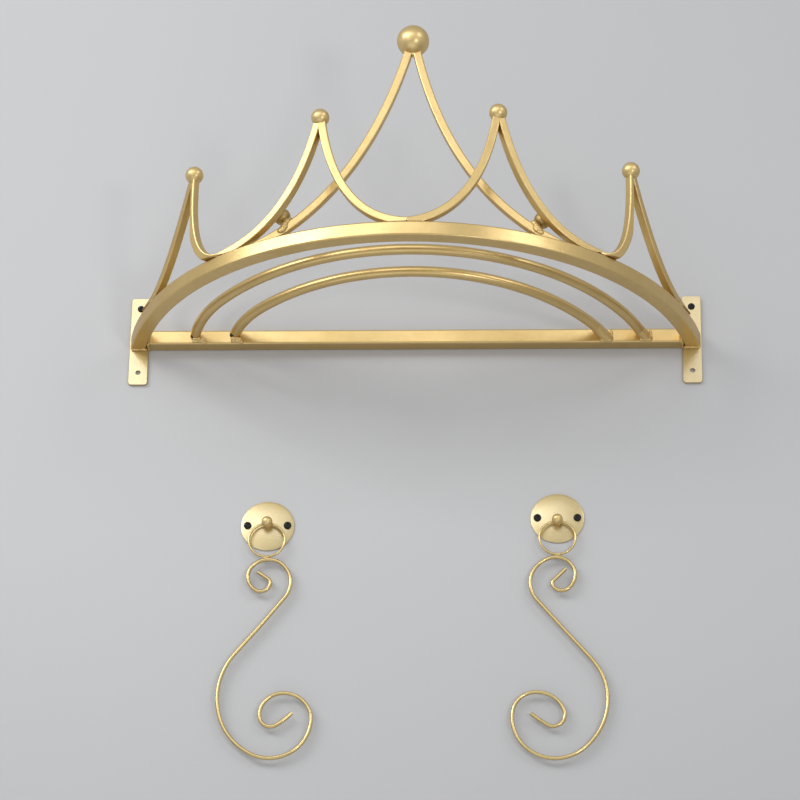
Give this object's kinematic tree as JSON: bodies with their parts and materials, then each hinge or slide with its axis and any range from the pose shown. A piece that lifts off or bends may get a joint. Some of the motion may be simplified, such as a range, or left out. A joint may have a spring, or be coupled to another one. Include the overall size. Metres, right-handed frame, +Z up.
{
  "type": "bed crown canopy",
  "caption": "Wall-hung half-ring bed crown of square tube with bent-bar spires, ball finials, arched curtain rods and a pair of swinging scroll tie-back hooks.",
  "frame": {"origin": "middle of the wall bar's back face, on the wall plane, on the crown's centre line", "axes": "+X to the viewer's right along the wall bar, +Y into the wall, +Z up"},
  "size_m": [0.6, 0.2717, 0.7383],
  "materials": {
    "gold_frame": "satin gold paint over welded steel",
    "gold_plate": "satin gold paint over flat steel",
    "gold_ball": "satin gold paint over turned steel",
    "gold_wire": "satin gold paint over bent steel wire",
    "black_screw": "black oxide"
  },
  "bodies": {
    "wall_parts": {"wall_bar": "gold_frame", "crown_ring": "gold_frame", "outer_rod": "gold_frame", "inner_rod": "gold_frame", "left_bracket": "gold_plate", "right_bracket": "gold_plate", "left_bracket_screw": "black_screw", "right_bracket_screw": "black_screw", "left_front_spire_inner_leg": "gold_frame", "left_front_spire_outer_leg": "gold_frame", "right_front_spire_inner_leg": "gold_frame", "right_front_spire_outer_leg": "gold_frame", "left_side_spire_front_leg": "gold_frame", "left_side_spire_rear_leg": "gold_frame", "right_side_spire_front_leg": "gold_frame", "right_side_spire_rear_leg": "gold_frame", "tall_spire_left_leg": "gold_frame", "tall_spire_right_leg": "gold_frame", "left_front_ball": "gold_ball", "right_front_ball": "gold_ball", "left_side_ball": "gold_ball", "right_side_ball": "gold_ball", "tall_ball": "gold_ball", "left_knob": "gold_ball", "right_knob": "gold_ball", "left_plate": "gold_plate", "right_plate": "gold_plate", "left_post": "gold_ball", "right_post": "gold_ball", "left_plate_inner_screw": "black_screw", "left_plate_outer_screw": "black_screw", "right_plate_inner_screw": "black_screw", "right_plate_outer_screw": "black_screw"},
    "left_hook": {"left_ring": "gold_wire", "left_scroll": "gold_wire"},
    "right_hook": {"right_ring": "gold_wire", "right_scroll": "gold_wire"}
  },
  "joints": [
    {"name": "left_hook_swing", "type": "hinge", "parent": "wall_parts", "child": "left_hook", "pos_m": [-0.1485, -0.007, -0.212], "axis": [-1, 0, 0], "range_deg": [0, 120]},
    {"name": "right_hook_swing", "type": "hinge", "parent": "wall_parts", "child": "right_hook", "pos_m": [0.1485, -0.007, -0.21], "axis": [-1, 0, 0], "range_deg": [0, 120]}
  ]
}
